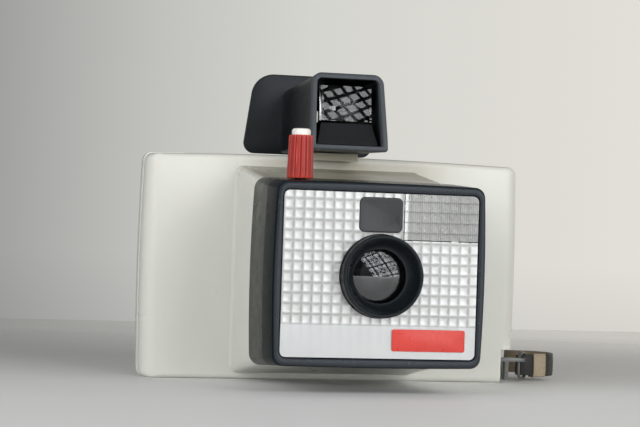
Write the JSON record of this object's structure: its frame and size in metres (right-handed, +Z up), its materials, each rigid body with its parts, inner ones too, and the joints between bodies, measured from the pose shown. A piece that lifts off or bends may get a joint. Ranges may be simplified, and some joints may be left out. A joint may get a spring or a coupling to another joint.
{
  "type": "instant camera",
  "caption": "Cream roll-film instant camera with a black lens box, silver patterned front plate, red exposure knob, top finder and a wrist strap on a steel ring.",
  "frame": {"origin": "centre of the flat that the camera stands on", "axes": "+X to the right seen from the lens side, +Y from the lens towards the back, +Z up"},
  "size_m": [0.1803, 0.1974, 0.1244],
  "materials": {
    "cream_plastic": "satin",
    "black_plastic": "gloss",
    "matte_black": "matte",
    "satin_black_plastic": "satin",
    "silver_foil": "satin",
    "label_red": "gloss",
    "smoked_plastic": "gloss",
    "clear_plastic": "polished",
    "red_plastic": "satin",
    "white_plastic": "satin",
    "blackened_metal": "matte",
    "steel": "satin",
    "brass": "satin",
    "paper": "matte",
    "lamp_glass": "gloss",
    "black_leather": "satin"
  },
  "bodies": {
    "camera": {"front_housing": "cream_plastic", "front_box": "black_plastic", "lens_barrel": "black_plastic", "film_chamber": "black_plastic", "finder_base": "black_plastic", "lens_retainer": "matte_black", "shutter_plate": "matte_black", "meter_tunnel": "matte_black", "eyepiece_board": "matte_black", "finder_frame": "satin_black_plastic", "finder_tunnel": "satin_black_plastic", "eye_plate": "satin_black_plastic", "face_plate": "silver_foil", "flash_reflector": "silver_foil", "meter_hood": "silver_foil", "label_plate": "label_red", "meter_window": "smoked_plastic", "finder_front_lens": "clear_plastic", "finder_rear_lens": "clear_plastic", "lens_element": "clear_plastic", "flash_socket": "white_plastic", "hinge_pin": "steel", "battery_left": "steel", "battery_right": "steel", "strap_lug": "steel", "box_screw_1": "steel", "box_screw_2": "steel", "box_screw_3": "steel", "box_screw_4": "steel", "roller_frame": "steel", "battery_contact_left": "brass", "battery_contact_right": "brass", "battery_spring_left": "brass", "battery_spring_right": "brass", "meter_lamp": "lamp_glass", "wrist_strap": "black_leather", "strap_keeper": "black_leather"},
    "door": {"back_door": "cream_plastic", "pressure_plate": "matte_black", "pressure_spring": "steel"},
    "latch": {"door_latch": "black_plastic"},
    "flash_flap": {"flash_cover": "smoked_plastic"},
    "knob": {"exposure_knob": "red_plastic", "exposure_shaft": "brass", "plunger_spring": "steel"},
    "vane": {"aperture_vane": "blackened_metal"},
    "plunger": {"shutter_plunger": "white_plastic"},
    "blade": {"shutter_blade": "blackened_metal"},
    "roller_front": {"front_roller": "steel"},
    "roller_rear": {"rear_roller": "steel"},
    "positive": {"positive_roll": "paper", "positive_spool": "white_plastic"},
    "negative": {"negative_roll": "paper", "negative_spool": "white_plastic"},
    "ejector": {"bulb_ejector": "white_plastic"},
    "ring": {"strap_ring": "steel"}
  },
  "joints": [
    {"name": "door_hinge", "type": "hinge", "parent": "camera", "child": "door", "pos_m": [0.066, 0.0154, 0.045], "axis": [0, 0, -1], "range_deg": [0, 90]},
    {"name": "latch_slide", "type": "slide", "parent": "door", "child": "latch", "axis": [1, 0, 0], "range_m": [0, 0.004], "stiffness_N_per_m": 300},
    {"name": "flash_cover_hinge", "type": "hinge", "parent": "camera", "child": "flash_flap", "pos_m": [0.00555, -0.0978, 0.065], "axis": [0, 0, -1], "range_deg": [0, 100]},
    {"name": "knob_turn", "type": "hinge", "parent": "camera", "child": "knob", "pos_m": [-0.0313, -0.083, 0.0785], "axis": [0, 0, 1], "range_deg": [0, 155]},
    {"name": "vane_turn", "type": "hinge", "parent": "camera", "child": "vane", "pos_m": [-0.027, -0.0869, 0.04], "axis": [0, 1, 0], "range_deg": [0, 28.5]},
    {"name": "plunger_press", "type": "slide", "parent": "knob", "child": "plunger", "axis": [0, 0, -1], "range_m": [0, 0.0022], "stiffness_N_per_m": 400, "deforming": ["plunger_spring"]},
    {"name": "blade_swing", "type": "hinge", "parent": "camera", "child": "blade", "pos_m": [0.012, -0.0851, 0.026], "axis": [0, 1, 0], "range_deg": [0, 46]},
    {"name": "front_roller_turn", "type": "hinge", "parent": "camera", "child": "roller_front", "pos_m": [-0.066, -0.0033, 0.045], "axis": [0, 0, 1], "continuous": true},
    {"name": "rear_roller_turn", "type": "hinge", "parent": "camera", "child": "roller_rear", "pos_m": [-0.066, 0.0063, 0.045], "axis": [0, 0, 1], "continuous": true},
    {"name": "positive_roll_turn", "type": "hinge", "parent": "camera", "child": "positive", "pos_m": [0.0518, -0.008, 0.045], "axis": [0, 0, 1], "continuous": true},
    {"name": "negative_roll_turn", "type": "hinge", "parent": "camera", "child": "negative", "pos_m": [0.0652, 0.003, 0.045], "axis": [0, 0, 1], "continuous": true},
    {"name": "ejector_push", "type": "slide", "parent": "camera", "child": "ejector", "axis": [-1, 0, 0], "range_m": [0, 0.0025], "stiffness_N_per_m": 200},
    {"name": "ring_swing", "type": "hinge", "parent": "camera", "child": "ring", "pos_m": [0.0812, -0.014, 0.0092], "axis": [0, 0, 1], "range_deg": [-15, 15]}
  ],
  "couplings": [
    {"joint": "vane_turn", "follows": "knob_turn", "ratio": 0.18},
    {"joint": "blade_swing", "follows": "plunger_press", "rad_per_m": 357},
    {"joint": "rear_roller_turn", "follows": "front_roller_turn", "ratio": -1},
    {"joint": "positive_roll_turn", "follows": "front_roller_turn", "ratio": 0.595},
    {"joint": "negative_roll_turn", "follows": "front_roller_turn", "ratio": 0.638}
  ]
}
